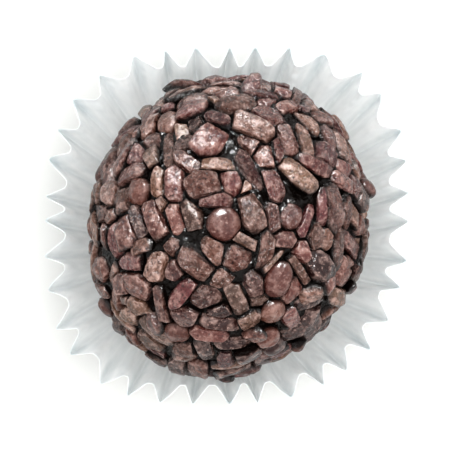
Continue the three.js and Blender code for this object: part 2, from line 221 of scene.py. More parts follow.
# %% The landmarks
# Of each: its kind, its place in x and y, its turn in degrees from +X, its length and its width.
LANDMARKS = [
    ("bead", -1.2, -0.5, 0, 3.8, 3.7),
    ("flake", 2.1, 0.6, 100, 5.0, 3.2),
    ("flake", -3.9, 3.9, -10, 4.6, 3.2),
    ("block", -0.4, 4.1, 125, 2.9, 2.1),
    ("rod", 1.5, 5.7, -62, 5.6, 2.1),
    ("flake", 2.2, 10.2, -32, 5.4, 2.5),
    ("flake", 6.2, 8.9, -75, 4.1, 2.6),
    ("rod", 7.6, 4.9, -38, 5.2, 2.2),
    ("block", 3.5, 7.0, 100, 2.6, 2.4),
    ("flake", -3.3, 9.1, 65, 4.7, 3.1),
    ("flake", 0.2, 12.9, 22, 4.9, 2.5),
    ("rod", -8.1, 8.5, -70, 5.4, 1.7),
    ("rod", -9.3, 0.3, -52, 5.6, 2.3),
    ("rod", -5.1, 0.6, -58, 3.6, 1.8),
    ("flake", -8.9, -4.9, 65, 4.0, 3.0),
    ("flake", -4.3, -4.9, -35, 4.6, 2.8),
    ("block", 0.4, -4.4, 30, 3.1, 2.9),
    ("rod", 3.7, -3.3, 85, 4.1, 2.0),
    ("flake", -2.9, -8.4, 20, 3.7, 2.6),
    ("rod", 0.6, -8.6, -65, 4.3, 2.2),
    ("bead", 5.4, -6.7, 80, 4.4, 2.9),
    ("block", 2.8, -7.4, -50, 2.8, 2.2),
    ("rod", -1.3, -11.2, -12, 4.7, 2.0),
    ("rod", 0.7, -13.6, -5, 5.0, 1.9),
    ("rod", 0.6, -15.9, -12, 4.8, 2.0),
    ("flake", 9.2, -11.8, 40, 5.8, 3.2),
    ("rod", -8.6, -12.2, -50, 5.6, 2.0),
    ("rod", 12.0, 1.3, -80, 5.6, 2.1),
    ("bead", 7.0, 0.2, 60, 3.1, 2.5),
    ("rod", 4.6, 3.5, -65, 4.0, 1.9),
    ("block", -1.9, 2.0, -12, 3.3, 1.7),
    ("bare", -4.9, -2.3, -20, 3.2, 1.9),
    ("bare", -0.6, 8.3, 70, 3.4, 2.0),
    ("bare", 8.4, 2.0, 30, 3.0, 1.6),
    ("bare", 6.6, 11.4, 10, 2.3, 1.5),
    ("bare", -7.0, -6.9, 30, 2.4, 1.6),
    ("bare", 12.0, -3.6, 60, 2.6, 1.5),
    ("bare", -14.6, -3.5, 80, 2.8, 1.7),
]
PROUD_LANDMARKS = [
    ("rod", 2.2, 15.4, 80, 4.4, 1.9),
    ("bead", 16.9, 3.8, 0, 2.4, 2.2),
]
print(len(LANDMARKS + PROUD_LANDMARKS), "granules and bare spots have a place of their own")

# %% Put the landmarks in
SETTLE_RADIUS = 16.7
LOWEST_LANDMARK = 0.1


def place_landmark(mark, proud):
    """A landmark takes the place of the free granule nearest to it, and stays where it is put."""
    kind, x, y, turn, length, width = mark
    at = np.array([x, y, 0.0]) / SETTLE_RADIUS
    at[2] = max(LOWEST_LANDMARK, math.sqrt(max(0, 1 - at @ at)))
    at = unit(at)
    axis = np.array([math.cos(math.radians(turn)), math.sin(math.radians(turn)), 0.0])
    axis = unit(axis - (axis @ at) * at)
    distance = np.linalg.norm(grains["at"] - at, axis=1)
    nearest = int(np.argmin(np.where(grains["fixed"], np.inf, distance)))
    landmark = dict(kind=kind, length=length, width=width, at=at, axis=axis, proud=proud, fixed=True)
    for key, value in landmark.items():
        grains[key][nearest] = value


for mark in LANDMARKS:
    place_landmark(mark, proud=False)
for mark in PROUD_LANDMARKS:
    place_landmark(mark, proud=True)
print(int(grains["fixed"].sum()), "landmarks are in place")

# %% [markdown]
# ### Settling
# Each granule counts as three discs in a row. Where discs of two granules overlap, both are pushed a little
# way apart, and turned if the push is at one end. They start small and swell to their full size, so that
# they find room before it gets tight, and what is still squeezed at the end gives way and becomes smaller.

# %% Find and undo the overlaps
# The share of an overlap that one step takes away.
SETTLE_PUSH = 0.42
# A short granule turns on an arm of this length, or it would spin.
SHORTEST_ARM = 0.5
# A granule narrower than this doesn't shrink.
NARROWEST = 1.0
CLEAR_OF = 7
NEVER_ZERO = 1e-9
TAIL_MIDDLE_HEAD = np.array([[-1], [0], [1]])


def pairs_near(points):
    """The numbers of every two granules that lie near enough to touch."""
    apart = np.linalg.norm(points[:, None] - points[None], axis=2)
    return np.nonzero(np.triu(apart < CLEAR_OF, 1))


def find_overlaps(discs, width):
    """The numbers of each near pair, its largest overlap in mm, and the pushes between its discs."""
    one, other = pairs_near(discs[:, 1])
    apart = discs[one][:, :, None] - discs[other][:, None]
    distance = np.maximum(np.linalg.norm(apart, axis=3), NEVER_ZERO)
    overlap = np.maximum(0, (width[one] + width[other])[:, None, None] / 2 - distance)
    push = apart * (SETTLE_PUSH * overlap / (2 * distance))[..., None]
    return one, other, overlap.max(axis=(1, 2)), push


def move_free(tail, head, loss):
    """Lays each granule that isn't fixed along from tail to head, back on the ball, and a little smaller."""
    free = ~grains["fixed"]
    at = unit(head + tail)
    axis = head - tail
    axis = unit(axis - (axis * at).sum(axis=1, keepdims=True) * at)
    grains["at"][free] = at[free]
    grains["axis"][free] = axis[free]
    loss = loss * (free & (grains["width"] > NARROWEST))
    grains["length"] -= loss
    grains["width"] -= loss


def settle_step(swell, give_way):
    """Takes away a share of every overlap, with all granules at a share of their size."""
    width = swell * grains["width"]
    reach = (swell * grains["length"] - width) / 2
    middle = grains["at"] * SETTLE_RADIUS
    discs = middle[:, None] + grains["axis"][:, None] * reach[:, None, None] * TAIL_MIDDLE_HEAD
    arm = np.maximum(reach, SHORTEST_ARM)[:, None] * grains["axis"]
    tail, head = middle - arm, middle + arm
    squeeze = np.zeros(GRAIN_COUNT)
    one, other, overlap, push = find_overlaps(discs, width)
    for numbers, pushes in ((one, push.sum(axis=2)), (other, -push.sum(axis=1))):
        np.add.at(tail, numbers, pushes[:, 0] + pushes[:, 1])
        np.add.at(head, numbers, pushes[:, 1] + pushes[:, 2])
        np.maximum.at(squeeze, numbers, overlap)
    move_free(tail, head, give_way * squeeze)


print("granules more than", CLEAR_OF, "mm apart are clear of each other")

# %% Let the granules settle
SETTLE_STEPS = 160
SWELL_STEPS = 80
SWELL_FROM = 0.6
GIVE_WAY = 0.04

for step in range(SETTLE_STEPS):
    swell = min(1, SWELL_FROM + (1 - SWELL_FROM) * step / SWELL_STEPS)
    settle_step(swell, 0 if step < SWELL_STEPS else GIVE_WAY)
print("the granules have settled to a mean length of", round(float(grains["length"].mean()), 2), "mm")

# %% [markdown]
# Each granule now has a place on a true ball. On the dough it gets axes of its own: ahead along its length,
# across, and out from the surface. A little tilt and lift keeps the coat from looking like a mosaic. A few
# on the upper side stand proud, and lower down the paper presses them in.

# %% Give each granule its place on the dough
SMALL_STEP = 0.01
PRESSED_STRAY = 0.36
MIDDLE_LIFT = 0.25
STRAY_LIFT = 0.4
STRAY_PITCH = 0.23
STRAY_ROLL = 0.34
PROUD_LIFT = 0.45
PROUD_PITCH = (0.2, 0.6)


def tilts():
    """How far each granule is lifted off the dough, in mm, and tipped and rolled, in radians."""
    play = np.where(grains["at"][:, 2] > PRESSED_BELOW, 1, PRESSED_STRAY)
    proud = grains["proud"]
    lift = MIDDLE_LIFT + either_way(STRAY_LIFT * play, chance["lift"]) + PROUD_LIFT * proud
    raised = -between(PROUD_PITCH, chance["pitch"])
    pitch = np.where(proud, raised, either_way(STRAY_PITCH * play, chance["pitch"]))
    roll = either_way(STRAY_ROLL * play, chance["roll"])
    return lift, pitch, roll


def grain_axes():
    """Axes ahead, across and out as the columns of a matrix for each granule, and its middle in mm."""
    at, axis = grains["at"], grains["axis"]
    middle = dough_point(at)
    ahead = unit(dough_point(unit(at + SMALL_STEP * axis)) - middle)
    beside = dough_point(unit(at + SMALL_STEP * np.cross(at, axis))) - middle
    out = unit(np.cross(ahead, beside))
    straight = np.stack([ahead, np.cross(out, ahead), out], axis=2)
    lift, pitch, roll = tilts()
    tilted = np.array([
        Matrix(rows.tolist()) @ Matrix.Rotation(r, 3, "X") @ Matrix.Rotation(p, 3, "Y")
        for rows, r, p in zip(straight, roll, pitch)
    ])
    return tilted, middle + out * lift[:, None]


axes, middles = grain_axes()
print("the highest granule's middle is", round(float(middles[:, 2].max()), 2), "mm over the table")

# %% [markdown]
# ## The shape of a granule
# A granule is a broken chip of chocolate, worn round by the tumbling. It could be sculpted, but four
# hundred need a rule: start from a fine ball, square it up, bend and taper it, break a few facets off it,
# and press it flat where it touches its neighbours. All of these are moves of the same points, so each
# granule stays one closed mesh.

# %% Tools for shaping points
def cut(points, normal, reach, edge):
    """Draws back the points past a plane on to it. The edge that this leaves is rounded over edge mm."""
    past = points @ normal - reach
    return points - np.outer((past + np.sqrt(past**2 + edge**2)) / 2, normal)


def swells(points, rng, height, lengths, waves):
    """Smooth random swells at points, as a sum of waves in all directions, mostly within height mm."""
    total = np.zeros(len(points))
    for _ in range(waves):
        direction = unit(rng.normal(size=3))
        speed = 2 * math.pi / rng.uniform(*lengths)
        total += np.sin(points @ direction * speed + rng.uniform(0, 2 * math.pi))
    return height * total / math.sqrt(waves)


def lumps(points, rng, sizes, waves):
    """Swells of several sizes, added up. A size is a height and the limits of its waves' length."""
    return sum(swells(points, rng, height, lengths, waves) for height, lengths in sizes)


def ball_mesh(subdivisions):
    """The points and triangles of a fine ball of radius 1."""
    shape = bmesh.new()
    bmesh.ops.create_icosphere(shape, subdivisions=subdivisions, radius=1)
    points = np.array([vertex.co[:] for vertex in shape.verts])
    faces = np.array([[vertex.index for vertex in face.verts] for face in shape.faces])
    shape.free()
    return points, faces


GRAIN_FINENESS = 4
CROWD_UP = np.array([0, 0, 0.3])
fine_ball, GRAIN_FACES = ball_mesh(GRAIN_FINENESS)
GRAIN_BALL = unit(fine_ball + CROWD_UP)
print("a granule is made from", len(GRAIN_FACES), "triangles, most of them on its upper side")

# %% Break facets off a chip
# Of each sort of facet: how many, how steeply they face up, in radians, and how far out they lie, as a
# share of the way to the chip's skin. The first sort is on top, then come bevels, then sides.
FACETS = [
    dict(count=3, up=(0.95, 1.5), share=(0.76, 0.97)),
    dict(count=4, up=(0.45, 1.0), share=(0.78, 1.02)),
    dict(count=4, up=(-0.1, 0.4), share=(0.7, 1.0)),
]
FACET_EDGE = 0.04


def break_facets(points, half, rng):
    """Cuts a chip's points back to facets at random. Half is half its length, width and thickness."""
    for sort in FACETS:
        for _ in range(sort["count"]):
            around, up = rng.uniform(0, 2 * math.pi), rng.uniform(*sort["up"])
            level = math.cos(up)
            normal = np.array([math.cos(around) * level, math.sin(around) * level, math.sin(up)])
            reach = np.linalg.norm(normal * half) * rng.uniform(*sort["share"])
            points = cut(points, normal, reach, FACET_EDGE)
    return points


print("a chip has", sum(sort["count"] for sort in FACETS), "facets")

# %% One granule
THICK_SHARE = 0.55
THICK_LEAST = 0.45
# A granule is made this much too large all round, so that its neighbours have something to press flat. One
# that they don't press hardly grows.
GROWN = 0.5
LOOSE_GROWN = 0.1
CURVE_RADIUS = 17.0
DOME = 2.5
STRAY_BOXY = (-0.4, 0.6)
GRAIN_LUMPS = [(0.04, (1.2, 3.0)), (0.03, (0.6, 1.1))]
GRAIN_WAVES = 7

thickness = THICK_SHARE * grains["width"] + THICK_LEAST


def squared_ball(half, boxy):
    """The fine ball, squared up as seen from above and domed, to half a length, width and thickness."""
    x, y, z = np.abs(GRAIN_BALL).T
    level = (x**boxy + y**boxy) ** (1 / boxy)
    return GRAIN_BALL / ((level**DOME + z**DOME) ** (1 / DOME))[:, None] * half


def grain_shape(number, rng):
    """One granule's points in mm round its own middle, lying along X with Z out of the dough."""
    kind = GRAIN_KINDS[grains["kind"][number]]
    bead = grains["kind"][number] == "bead"
    length, width = grains["length"][number], grains["width"][number]
    grown = LOOSE_GROWN if bead or grains["proud"][number] else GROWN
    half = np.array([length / 2 + grown, width / 2 + grown, thickness[number] / 2])
    points = squared_ball(half, kind["boxy"] + rng.uniform(*STRAY_BOXY))
    points[:, 1] *= 1 + either_way(kind["taper"], rng.uniform()) * points[:, 0] / half[0]
    if not bead:
        points = break_facets(points, half, rng)
    points[:, 1] += either_way(kind["bend"], rng.uniform()) * points[:, 0] ** 2 / length
    points[:, 2] -= points[:, 0] ** 2 / (2 * CURVE_RADIUS)
    return points + unit(points) * lumps(points, rng, GRAIN_LUMPS, GRAIN_WAVES)[:, None]


print("the first granule spans", np.ptp(grain_shape(0, np.random.default_rng(1)), axis=0).round(2), "mm")

# %% [markdown]
# Where two granules touch, both give way to a plane midway between them, less half a gap. That is what
# makes a packed coat look packed: the sides of neighbours run alongside each other. The planes lean, so
# that the gap is a groove that opens upwards.

# %% Press the granules against each other
GAPS = (0.08, 0.3)
GAP_SEED = 3
LEAN = 0.22
ROUNDS = 12


def nearest_on(numbers, point):
    """The points on the middle lines of granules that are nearest to other points."""
    ahead = axes[numbers, :, 0]
    reach = (grains["length"] - grains["width"])[numbers] / 2
    along = ((point - middles[numbers]) * ahead).sum(axis=1)
    return middles[numbers] + ahead * np.clip(along, -reach, reach)[:, None]


def closest_points(one, other):
    """The points on the middle lines of each two granules that are nearest to each other."""
    on_one = middles[one]
    for _ in range(ROUNDS):
        on_other = nearest_on(other, on_one)
        on_one = nearest_on(one, on_other)
    return on_one, on_other


def contact_planes():
    """For each granule, the planes that it may not pass, each as its direction and a point on it."""
    one, other = pairs_near(middles)
    on_one, on_other = closest_points(one, other)
    direction = unit(on_other - on_one)
    room = np.linalg.norm(on_other - on_one, axis=1) - (grains["width"][one] + grains["width"][other]) / 2
    midway = on_one + direction * (grains["width"][one] + room)[:, None] / 2
    half_gap = between(GAPS, np.random.default_rng(GAP_SEED).random(len(one)))[:, None] / 2
    loose = grains["proud"] | (grains["kind"] == "bare")
    planes = [[] for _ in range(GRAIN_COUNT)]
    for i in np.nonzero((room < 2 * GROWN) & ~loose[one] & ~loose[other])[0]:
        for number, way in ((one[i], direction[i]), (other[i], -direction[i])):
            if grains["kind"][number] != "bead":
                planes[number].append((unit(way + LEAN * axes[number, :, 2]), midway[i] - way * half_gap[i]))
    return planes


planes = contact_planes()
print("a granule touches", round(sum(map(len, planes)) / GRAIN_COUNT, 1), "neighbours on average")

# %% [markdown]
# ## From numbers to meshes
# Four hundred objects would be slow to handle, so all the granules of one kind are joined into one mesh.
# For the finish to tell them apart, the mesh stores a few more numbers at each of its points.

# %% Make a mesh piece
def mesh_piece(name, points, faces, finish):
    """A smooth mesh object from points in mm."""
    mesh = bpy.data.meshes.new(name)
    mesh.from_pydata(points * MM, [], faces)
    mesh.shade_smooth()
    mesh.materials.append(finish)
    piece = bpy.data.objects.new(name, mesh)
    bpy.context.scene.collection.objects.link(piece)
    return piece


def store(piece, name, values):
    """Keeps a vector for each point of a piece, for its finish to read."""
    attribute = piece.data.attributes.new(name, "FLOAT_VECTOR", "POINT")
    attribute.data.foreach_set("vector", values.astype(np.float32).ravel())


print("a mesh piece 1 mm wide is", MM, "m wide in Blender")

# %% [markdown]
# ## Finishes
# A finish is a small tree of shader nodes. Wiring each node by hand hides the idea behind a lot of lines, so
# a wire here knows arithmetic: adding or multiplying two wires adds the Math node that does it. Every other
# node comes from one method, with short names for those used again and again.

# %% Shader wires that know arithmetic
class Wire:
    """What comes out of a shader node. Arithmetic on it adds Math nodes."""

    def __init__(self, tree, socket):
        self.tree = tree
        self.socket = socket

    def math(self, operation, *values):
        """What a Math node makes of values or wires."""
        return self.tree.node("Math", {"operation": operation}, dict(enumerate(values)))

    def __add__(self, other):
        return self.math("ADD", self, other)

    def __sub__(self, other):
        return self.math("SUBTRACT", self, other)

    def __rsub__(self, other):
        return self.math("SUBTRACT", other, self)

    def __mul__(self, other):
        return self.math("MULTIPLY", self, other)

    __radd__ = __add__
    __rmul__ = __mul__


print("a wire knows how to add, subtract and multiply")

# %% The tree that the wires grow in
class Tree:
    """A material and its shader nodes."""

    def __init__(self, name):
        self.material = bpy.data.materials.new(name)
        self.material.use_nodes = True
        self.nodes = self.material.node_tree.nodes
        self.nodes.clear()

    def node(self, kind, settings=None, sockets=None, out=0):
        """Adds a node, sets it up, fills its sockets with values or wires, and gives one of its outputs."""
        node = self.nodes.new("ShaderNode" + kind)
        for key, value in (settings or {}).items():
            setattr(node, key, value)
        for key, value in (sockets or {}).items():
            if isinstance(value, Wire):
                self.material.node_tree.links.new(value.socket, node.inputs[key])
            else:
                node.inputs[key].default_value = value
        return Wire(self, node.outputs[out])

    def stored(self, name):
        """A vector that the mesh stores at its points."""
        return self.node("Attribute", {"attribute_name": name}, out="Vector")

    def parts(self, vector, keys="XYZ"):
        """The numbers that make up a vector."""
        return [self.node("SeparateXYZ", sockets={0: vector}, out=key) for key in keys]

    def noise(self, place, scale, detail, roughness=0.5):
        """Clouds from 0 to 1, with finer layers in them: detail is how many, and roughness how strong."""
        sockets = {"Vector": place, "Scale": scale, "Detail": detail, "Roughness": roughness}
        return self.node("TexNoise", sockets=sockets)

    def ramp(self, value, low, high):
        """A mask: 0 where a value is at low, 1 where it is at high, and a slope between them."""
        return self.node("MapRange", sockets={"Value": value, "From Min": low, "From Max": high})

    def mix(self, share, first, second):
        """A colour between two colours."""
        return self.node("Mix", {"data_type": "RGBA"}, {0: share, 6: first, 7: second}, out=2)

    def finish(self, sockets):
        """The surface itself. Gives the material."""
        surface = self.node("BsdfPrincipled", sockets=sockets)
        output = self.nodes.new("ShaderNodeOutputMaterial")
        self.material.node_tree.links.new(surface.socket, output.inputs["Surface"])
        return self.material


def srgb(red, green, blue):
    """A colour of a screen, 0 to 255, as the linear colour with alpha that a shader takes."""
    linear = [((c / 255 + 0.055) / 1.055) ** 2.4 if c > 10 else c / 255 / 12.92 for c in (red, green, blue)]
    return (*linear, 1.0)


print("half grey on a screen is", round(srgb(128, 128, 128)[0], 3), "to a shader")

# %% [markdown]
# ### Chocolate granules
# Dry milk chocolate is a soft, greyish brown with a dull shine. From granule to granule it goes from a dark
# red brown to a dusty tan. Within one it is mottled, paler where sugar and cocoa dust cling, and rough where
# it broke. Low down it is darkened with painted shade, for the shadow in the gaps, and with the fudge that
# wets it.
# For an image texture every granule would have to be unwrapped. Noise that is read in each granule's own
# space needs none of that, and turns with the granule.

# %% The colours of the granules
DARK_CHOCOLATE = srgb(36, 17, 16)
MILK_CHOCOLATE = srgb(94, 56, 47)
RED_CHOCOLATE = srgb(96, 42, 46)
OLIVE_TAN = srgb(120, 91, 71)
COCOA_DUST = srgb(190, 160, 150)
# Near black: painted shade in the gaps low on each granule, and fudge wetting.
SHADED_WET_CHOCOLATE = srgb(14, 6, 5)
# How much of each shows where its mask is full.
SMEARS = 0.5
REDS = 0.6
TANS = 0.6
DUST = 0.3
DUST_ON_TAN = 0.3
SPECKS = 0.6
# Pale edges are partly cocoa dust and partly painted highlight along the ridges.
EDGE_DUST_AND_HIGHLIGHT = 0.8


def granule_colour(tree, mottle, grit, dust_and_far_light, form):
    """Dark to milky, then reddened, tanned, dusted, specked, pitted, paler at the edges with dust and
    painted highlight, and darkened low down with painted shade and fudge wetting.
    """
    tone, tan, red = tree.parts(tree.stored("grain_look"))
    rise, edge, wear_and_far_light = form
    smeared = tree.ramp(mottle, 0.56, 0.38) * wear_and_far_light
    colour = tree.mix(tone * (1 - smeared * SMEARS), DARK_CHOCOLATE, MILK_CHOCOLATE)
    colour = tree.mix(red * REDS, colour, RED_CHOCOLATE)
    colour = tree.mix(tan * wear_and_far_light * TANS, colour, OLIVE_TAN)
    colour = tree.mix(dust_and_far_light * (DUST + tan * DUST_ON_TAN), colour, COCOA_DUST)
    specked = tree.ramp(grit, 0.56, 0.7)
    colour = tree.mix(specked * wear_and_far_light * SPECKS, colour, COCOA_DUST)
    pitted = tree.ramp(grit, 0.46, 0.34)
    colour = tree.mix(pitted * wear_and_far_light, colour, DARK_CHOCOLATE)
    # Paler at sharp edges: dust, and a painted highlight on the ridges.
    colour = tree.mix(edge * wear_and_far_light * EDGE_DUST_AND_HIGHLIGHT, colour, COCOA_DUST)
    # Low down each granule turns near black: painted shade in the gaps, and fudge wetting.
    return tree.mix(rise, SHADED_WET_CHOCOLATE, colour)


print("milk chocolate is", [round(share, 3) for share in MILK_CHOCOLATE[:3]], "to a shader")

# %% The finish of the granules
MOTTLES_PER_MM = 0.9
GRITS_PER_MM = 2.6
CRAGS_PER_MM = 1.3
PATCHES_PER_MM = 0.06


def granule_relief(tree, place, mottle, grit, wear_and_far_light):
    """Grit, mottles and crags: more of them in rough patches, and fewer on a smooth bead."""
    rough = tree.ramp(tree.noise(place, PATCHES_PER_MM, 0.0), 0.48, 0.66)
    crags = tree.node("TexVoronoi", {"feature": "F1"}, {"Vector": place, "Scale": CRAGS_PER_MM})
    height = (grit * (0.2 + rough * 1.2) + mottle * 0.6 + crags * (0.2 + rough)) * wear_and_far_light * wear_and_far_light
    return tree.node("Bump", sockets={"Height": height, "Strength": 1.0, "Distance": 0.5 * MM})


def granule_finish():
    """The finish of every granule, whatever its kind."""
    tree = Tree("chocolate_granules")
    place = tree.stored("grain_place")
    rise, edge, wear_and_far_light = tree.parts(tree.stored("grain_form"))
    mottle = tree.noise(place, MOTTLES_PER_MM, 4.0, 0.55)
    grit = tree.noise(place, GRITS_PER_MM, 4.0, 0.7)
    # Dust, heavier towards the far side, partly as painted light.
    dust_and_far_light = tree.ramp(mottle, 0.46, 0.68) * wear_and_far_light
    return tree.finish({
        "Base Color": granule_colour(tree, mottle, grit, dust_and_far_light, (rise, edge, wear_and_far_light)),
        "Roughness": 0.3 - wear_and_far_light * 0.1 + dust_and_far_light * 0.14,
        "Specular IOR Level": 0.6,
        "Normal": granule_relief(tree, place, mottle, grit, wear_and_far_light),
    })


chocolate = granule_finish()
print("made the finish", chocolate.name, "of", len(chocolate.node_tree.nodes), "nodes")

# %% [markdown]
# ### The granules themselves
# Every granule is shaped, set in its place, pressed against its neighbours, and cut level with the foot
# that the ball rests on. At each point it stores its place in the granule's own space, the granule's look,
# which is how milky, tan and red it is, and its form: how high the point is, how sharp the edge there, and
# how worn the granule. The sweet isn't the same all round: towards its far side, where the light comes from,
# the granules are painted milkier and redder as painted light, and more worn and dusty, partly as painted
# light.

# %% What a granule's finish reads
# A granule is darkened with painted shade and fudge wetting up to one height, and is clear of it from
# another, as shares of half its thickness. Its edges are pale with dust and painted highlight from one
# sharpness, and fully so at another.
SHADE_AND_WET_TO = -0.2
SHADE_AND_WET_UNTIL = 0.5
EDGE_FROM = 0.12
EDGE_TO = 0.5
LOOK_MIDDLE = (0.48, 0.08, 0.12)
LOOK_SPREAD = (0.4, 0.45, 0.5)
# Towards the far side, where the light comes from, granules are painted milkier and redder: painted light.
FAR_PAINTED_LIGHT = np.array((0.35, 0.0, 0.35))
BEAD_LOOK = np.array((0.5, 0.1, 0.25))
BEAD_WORN = 0.6
# Towards the far side granules are more worn and dusty, partly as painted light.
FAR_WEAR_AND_LIGHT = 0.15
# From -1 on the near side of the ball to 1 on its far side.
farness = middles[:, 1] / (BALL_SHORT / 2)
GRAIN_EDGES = np.concatenate([GRAIN_FACES[:, [0, 1]], GRAIN_FACES[:, [1, 2]], GRAIN_FACES[:, [2, 0]]])


def sharpness(points):
    """How far each point of a granule stands out from the points round it: high on edges, 0 on a flat."""
    around = np.zeros_like(points)
    np.add.at(around, GRAIN_EDGES[:, 0], points[GRAIN_EDGES[:, 1]])
    around /= np.bincount(GRAIN_EDGES[:, 0])[:, None]
    spacing = np.linalg.norm(points[GRAIN_EDGES[:, 0]] - points[GRAIN_EDGES[:, 1]], axis=1).mean()
    return ((points - around) * unit(points - points.mean(axis=0))).sum(axis=1) / spacing


def grain_look(number, rng):
    """How milky, tan and red a granule is, each from 0 to 1, milkier and redder towards the far side as
    painted light. The beads among the landmarks look alike.
    """
    look = np.clip(rng.normal(LOOK_MIDDLE, LOOK_SPREAD) + farness[number] * FAR_PAINTED_LIGHT, 0, 1)
    return BEAD_LOOK if grains["kind"][number] == "bead" and grains["fixed"][number] else look


def grain_form(number, local, points):
    """How high each point is, from 0 where painted shade and wetting are full to 1 where they end, how sharp
    the edge is, and how worn, with painted light towards the far side.
    """
    # 0 at the bottom, where painted shade and fudge wetting are full, and 1 from where they end.
    rise = np.clip((local[:, 2] / (thickness[number] / 2) - SHADE_AND_WET_TO) / (SHADE_AND_WET_UNTIL - SHADE_AND_WET_TO), 0, 1)
    edge = np.clip((sharpness(points) - EDGE_FROM) / (EDGE_TO - EDGE_FROM), 0, 1)
    # Wear, with more of it towards the far side, partly as painted light.
    wear_and_far_light = (BEAD_WORN if grains["kind"][number] == "bead" else 1.0) + farness[number] * FAR_WEAR_AND_LIGHT
    return np.stack([rise, edge, np.full(len(points), wear_and_far_light)], axis=1)


print("a granule has", len(GRAIN_EDGES) // 2, "edges to look for sharp ones")

# %% Build the granules, one mesh for each kind
SHAPE_SEED = 5000
FOOT_EDGE = 0.1
TOUCH_EDGE = 0.07
PATTERN_ROOM = 100
DOWN = np.array([0.0, 0.0, -1.0])


def level_foot(points):
    """Presses the points under the ball's foot up to it."""
    return cut(points, DOWN, -FOOT, FOOT_EDGE)


def build_grain(number):
    """One granule's points on the ball, in mm, and what its finish reads at each of them."""
    rng = np.random.default_rng(SHAPE_SEED + number)
    local = grain_shape(number, rng)
    points = local @ axes[number].T + middles[number]
    for direction, point in planes[number]:
        points = cut(points, direction, point @ direction, TOUCH_EDGE)
    points = level_foot(points)
    looks = np.tile(grain_look(number, rng), (len(points), 1))
    places = local + rng.uniform(0, PATTERN_ROOM, 3)
    return points, places, looks, grain_form(number, local, points)


def build_kind(kind):
    """The piece that holds every granule of a kind."""
    numbers = np.nonzero(grains["kind"] == kind)[0]
    points, places, looks, forms = (np.concatenate(arrays) for arrays in zip(*map(build_grain, numbers)))
    first = np.arange(len(numbers))[:, None, None] * len(GRAIN_BALL)
    piece = mesh_piece("granules_" + kind, points, (GRAIN_FACES + first).reshape(-1, 3), chocolate)
    store(piece, "grain_place", places)
    store(piece, "grain_look", looks)
    store(piece, "grain_form", forms)
    return piece


granules = [build_kind(kind) for kind in GRAIN_KINDS if kind != "bare"]
for piece in granules:
    print(piece.name, len(piece.data.polygons), "triangles")

# %% [markdown]
# ## The fudge
# Between the granules the fudge itself shows: nearly black in the deep gaps, and wet, with small sharp
# glints. On a smooth sphere they would all lie in one spot. So this is a fine ball on the dough's formula,
# with lumps of two sizes pushed into its surface.

# %% The finish of the fudge
FUDGE = srgb(8, 5, 4)
PALER_FUDGE = srgb(18, 12, 9)
DENTS_PER_MM = 0.9


def fudge_finish():
    """Dark, wet and smooth, with soft dents that break up its glints."""
    tree = Tree("wet_fudge")
    place = tree.node("TexCoord", out="Object")
    dents = tree.noise(place, DENTS_PER_MM / MM, 3.0)
    return tree.finish({
        "Base Color": tree.mix(dents * 0.5, FUDGE, PALER_FUDGE),
        "Roughness": 0.2,
        "Specular IOR Level": 0.25,
        "Normal": tree.node("Bump", sockets={"Height": dents, "Strength": 1.0, "Distance": 0.6 * MM}),
    })


wet_fudge = fudge_finish()
print("made the finish", wet_fudge.name)

# %% Build the fudge
FUDGE_FINENESS = 7
FUDGE_SEED = 5
FUDGE_LUMPS = [(0.2, (1.8, 3.4)), (0.09, (0.8, 1.5))]
FUDGE_WAVES = 16


def build_fudge():
    """The lumpy ball of fudge under the granules."""
    ball, faces = ball_mesh(FUDGE_FINENESS)
    points = dough_point(ball)
    swell = lumps(points, np.random.default_rng(FUDGE_SEED), FUDGE_LUMPS, FUDGE_WAVES)
    return mesh_piece("fudge_ball", level_foot(points + ball * swell[:, None]), faces, wet_fudge)


fudge = build_fudge()
print(fudge.name, len(fudge.data.polygons), "triangles")

# %% [markdown]
# ## The paper case
# The case is one disc of white paper, pressed into flutes. Cloth simulation could fold it, but hardly into
# flutes this even. Arithmetic can: round a narrower wall the disc's edge has paper to spare, and the flutes
# take it up, which gives their depth at each height.

# %% How deep the flutes are
BASE_RADIUS = 14.5
WALL_SLANT = 18.5
FLUTES = 36
# How far out the ridges' tips reach, in mm, at each eighth of the way round from +X.
RIM_REACH = np.array([21.3, 24.2, 20.9, 23.4, 21.3, 23.8, 20.9, 22.1])


def rim_reach(angle):
    """How far the ridges' tips reach in a direction, eased from one named reach to the next."""
    sides = len(RIM_REACH)
    place = (angle / (2 * math.pi / sides)) % sides
    index = np.floor(place).astype(int) % sides
    ease = (1 - np.cos(math.pi * (place - np.floor(place)))) / 2
    return RIM_REACH[index] * (1 - ease) + RIM_REACH[(index + 1) % sides] * ease


def paper_length(slant):
    """The length of paper from a flute's valley to its ridge, at a distance up the wall."""
    return math.pi * (BASE_RADIUS + slant) / FLUTES


def flute_depth(slant, radius):
    """From a flute's valley to its ridge: the paper keeps the length round that it had when it was flat."""
    pitch = math.pi * radius / FLUTES
    return np.sqrt(np.maximum(0, paper_length(slant) ** 2 - pitch**2))


def rim_middle(reach):
    """The radius at the rim that half a flute's depth brings to reach: one root of a quadratic equation."""
    a, b, c = 4 + (math.pi / FLUTES) ** 2, -8 * reach, 4 * reach**2 - paper_length(WALL_SLANT) ** 2
    return (-b - np.sqrt(b * b - 4 * a * c)) / (2 * a)


print("a flute is", round(float(flute_depth(WALL_SLANT, rim_middle(RIM_REACH[0]))), 2), "mm deep at the rim")

# %% [markdown]
# ### The wall
# A place on the wall has an angle, a distance up the paper, its slant, and a fold: 1 on a ridge and -1 in a
# valley. The ridges are sharper than the valleys, the wall bulges, and no two flutes stand quite alike.

# %% The points of the wall
PAPER = 0.08
WALL_BULGE = 0.48
